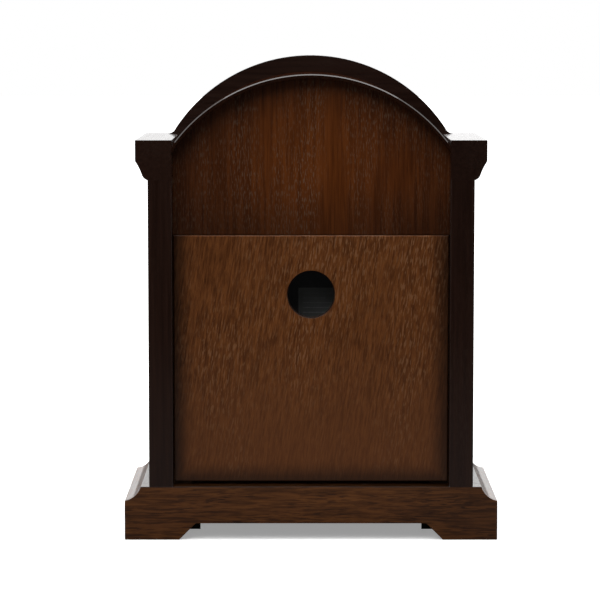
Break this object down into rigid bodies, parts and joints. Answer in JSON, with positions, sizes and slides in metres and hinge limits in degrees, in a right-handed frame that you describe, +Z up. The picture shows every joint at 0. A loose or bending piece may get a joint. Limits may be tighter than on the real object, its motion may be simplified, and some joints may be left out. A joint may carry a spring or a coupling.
{
  "type": "mantel clock",
  "caption": "Broken-arch wooden mantel clock with a bracket-foot plinth, glazed front door, lift-out back panel with a round hole and a battery quartz chime movement.",
  "frame": {"origin": "on the floor, under the middle of the plinth", "axes": "+Z up, +Y to the back (the side with the removable panel), -Y to the dial, +X to the right for a viewer who faces the dial"},
  "size_m": [0.25, 0.14, 0.323],
  "materials": {
    "dark_wood": "dark stained, glossy lacquer",
    "top_veneer": "dark stained veneer, glossy lacquer",
    "upper_veneer": "brown stained veneer, lacquered",
    "panel_veneer": "brown stained veneer, lacquered",
    "plinth_oak": "brown stained oak grain, lacquered",
    "inner_wood": "stained, matt",
    "polished_brass": "polished",
    "brushed_brass": "brushed",
    "silvered": "satin silver",
    "bright_steel": "plain",
    "blackened": "black, satin",
    "clear_glass": "clear",
    "black_plastic": "black, fine texture",
    "grey_label": "printed foil",
    "white_plastic": "moulded",
    "arbor_metal": "turned",
    "copper_wire": "wound copper",
    "circuit_green": "solder resist",
    "speaker_black": "plain",
    "cell_jacket": "plain foil"
  },
  "bodies": {
    "case": {"plinth_front": "plinth_oak", "plinth_back": "plinth_oak", "plinth_left": "plinth_oak", "plinth_right": "plinth_oak", "glue_blocks": "inner_wood", "base_board": "inner_wood", "base_screws": "bright_steel", "side_left": "dark_wood", "side_right": "dark_wood", "shoulder_left": "dark_wood", "shoulder_right": "dark_wood", "crown_board": "dark_wood", "crown_moulding": "dark_wood", "arch_top": "top_veneer", "upper_back_board": "upper_veneer", "case_battens": "inner_wood", "closure_magnets": "bright_steel", "brass_screws": "polished_brass", "hinge_case_leaves": "polished_brass", "hinge_pins": "polished_brass", "dial_board": "inner_wood", "dial_plate": "brushed_brass", "chapter_ring": "silvered", "dial_castings": "polished_brass", "movement_front_shell": "black_plastic", "movement_rear_shell": "black_plastic", "movement_label": "grey_label", "hand_bushing": "polished_brass", "train_plates": "white_plastic", "stator": "bright_steel", "coil": "copper_wire", "circuit_board": "circuit_green", "speaker": "speaker_black", "batteries": "cell_jacket", "battery_contacts": "bright_steel"},
    "door": {"door_arch_head": "dark_wood", "door_stile_left": "dark_wood", "door_stile_right": "dark_wood", "door_bottom_rail": "dark_wood", "door_glass": "clear_glass", "glass_bead": "dark_wood", "catch_plate": "bright_steel", "door_knob": "polished_brass", "hinge_door_leaves": "polished_brass", "door_hinge_screws": "polished_brass"},
    "back_panel": {"back_panel": "panel_veneer", "panel_strikes": "bright_steel"},
    "minute_train": {"minute_arbor": "arbor_metal", "minute_hand": "blackened", "hand_nut": "polished_brass", "set_knob": "black_plastic"},
    "hour_train": {"hour_wheel": "white_plastic", "hour_hand": "blackened"},
    "minute_wheel": {"minute_wheel": "white_plastic"},
    "third_wheel": {"third_wheel": "white_plastic"},
    "seconds_wheel": {"seconds_wheel": "white_plastic"},
    "step_wheel": {"step_wheel": "white_plastic"},
    "rotor": {"rotor": "white_plastic"},
    "volume_knob": {"volume_knob": "black_plastic"},
    "melody_switch": {"melody_switch": "black_plastic"}
  },
  "joints": [
    {"name": "door_swing", "type": "hinge", "parent": "case", "child": "door", "pos_m": [0.092, -0.0553, 0.128], "axis": [0, 0, 1], "range_deg": [0, 100]},
    {"name": "back_panel_pull", "type": "slide", "parent": "case", "child": "back_panel", "axis": [0, 1, 0], "range_m": [0, 0.12]},
    {"name": "minute_hand_turn", "type": "hinge", "parent": "case", "child": "minute_train", "pos_m": [0, 0, 0.134], "axis": [0, 1, 0], "continuous": true},
    {"name": "hour_hand_turn", "type": "hinge", "parent": "case", "child": "hour_train", "pos_m": [0, 0, 0.134], "axis": [0, 1, 0], "continuous": true},
    {"name": "minute_wheel_turn", "type": "hinge", "parent": "case", "child": "minute_wheel", "pos_m": [-0.00905, 0, 0.12495], "axis": [0, 1, 0], "continuous": true},
    {"name": "third_wheel_turn", "type": "hinge", "parent": "case", "child": "third_wheel", "pos_m": [0.01247, 0, 0.1412], "axis": [0, 1, 0], "continuous": true},
    {"name": "seconds_wheel_turn", "type": "hinge", "parent": "case", "child": "seconds_wheel", "pos_m": [0.02425, 0, 0.1344], "axis": [0, 1, 0], "continuous": true},
    {"name": "step_wheel_turn", "type": "hinge", "parent": "case", "child": "step_wheel", "pos_m": [0.03125, 0, 0.14652], "axis": [0, 1, 0], "continuous": true},
    {"name": "rotor_turn", "type": "hinge", "parent": "case", "child": "rotor", "pos_m": [0.04543, 0, 0.14402], "axis": [0, 1, 0], "continuous": true},
    {"name": "volume_knob_turn", "type": "hinge", "parent": "case", "child": "volume_knob", "pos_m": [-0.05, 0, 0.176], "axis": [0, -1, 0], "range_deg": [0, 270]},
    {"name": "melody_switch_slide", "type": "slide", "parent": "case", "child": "melody_switch", "axis": [0, 0, 1], "range_m": [-0.0035, 0.0035]}
  ],
  "couplings": [
    {"joint": "hour_hand_turn", "follows": "minute_hand_turn", "ratio": 0.083333},
    {"joint": "minute_wheel_turn", "follows": "minute_hand_turn", "ratio": -0.33333},
    {"joint": "third_wheel_turn", "follows": "minute_hand_turn", "ratio": -8},
    {"joint": "seconds_wheel_turn", "follows": "minute_hand_turn", "ratio": 60},
    {"joint": "step_wheel_turn", "follows": "minute_hand_turn", "ratio": -360},
    {"joint": "rotor_turn", "follows": "minute_hand_turn", "ratio": 1800}
  ]
}
